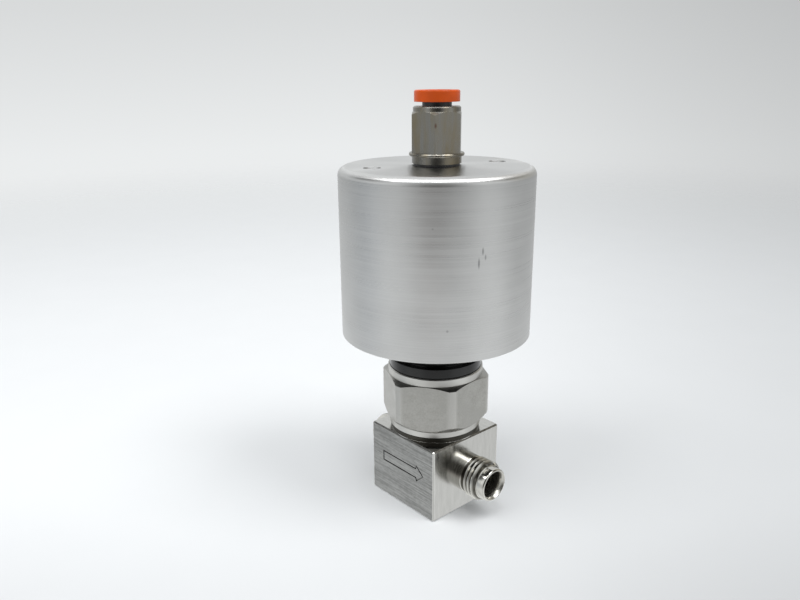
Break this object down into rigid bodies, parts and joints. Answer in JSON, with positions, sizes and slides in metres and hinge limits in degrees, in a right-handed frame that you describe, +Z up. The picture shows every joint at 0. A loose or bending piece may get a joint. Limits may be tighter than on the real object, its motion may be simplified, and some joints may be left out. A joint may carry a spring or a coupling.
{
  "type": "bellows-sealed valve",
  "caption": "Air-operated stainless steel bellows-sealed valve with tube ends, a hexagonal union nut, a round aluminium actuator and a push-in air fitting on top.",
  "frame": {"origin": "centre of the underside of the square body block, on the stem axis", "axes": "+Z up the stem axis towards the air fitting, +X in the flow direction towards the outlet"},
  "size_m": [0.0508, 0.0508, 0.1123],
  "materials": {
    "body": "milled and turned stainless steel",
    "nut": "satin stainless steel",
    "actuator": "fine turned aluminium",
    "inner_aluminium": "turned aluminium",
    "inner_steel": "turned stainless steel",
    "bellows_metal": "thin formed stainless steel",
    "spring_wire": "drawn spring wire",
    "gasket_silver": "plated flat gasket",
    "bronze": "sintered bronze",
    "seat_plastic": "turned fluoroplastic",
    "seal_rubber": "moulded rubber",
    "fitting": "nickel-plated brass, slightly tarnished",
    "sleeve_plastic": "dark moulded plastic",
    "release_plastic": "orange moulded plastic"
  },
  "bodies": {
    "housing": {"valve_body": "body", "body_gasket": "gasket_silver", "bellows_flange": "inner_steel", "bellows": "bellows_metal", "bonnet": "inner_steel", "guide_bush": "bronze", "bonnet_nut": "nut", "actuator_base": "inner_aluminium", "rod_bush": "bronze", "return_spring": "spring_wire", "actuator_cap": "actuator", "fitting_seal": "seal_rubber", "fitting_body": "fitting", "tube_seal": "seal_rubber", "tube_gripper": "inner_steel", "gripper_retainer": "fitting"},
    "stem_and_piston": {"stem": "inner_steel", "stem_tip": "seat_plastic", "actuator_rod": "inner_steel", "piston": "inner_aluminium", "piston_seal": "seal_rubber", "piston_washer": "inner_steel", "piston_nut": "inner_steel"},
    "release": {"release_ring": "release_plastic", "release_sleeve": "sleeve_plastic"}
  },
  "joints": [
    {"name": "stem_slide", "type": "slide", "parent": "housing", "child": "stem_and_piston", "axis": [0, 0, 1], "range_m": [-0.0018, 0], "stiffness_N_per_m": 3000, "springref_m": 0.004, "deforming": ["bellows", "return_spring"]},
    {"name": "release_slide", "type": "slide", "parent": "housing", "child": "release", "axis": [0, 0, 1], "range_m": [-0.0008, 0], "stiffness_N_per_m": 400, "springref_m": 0.001}
  ]
}
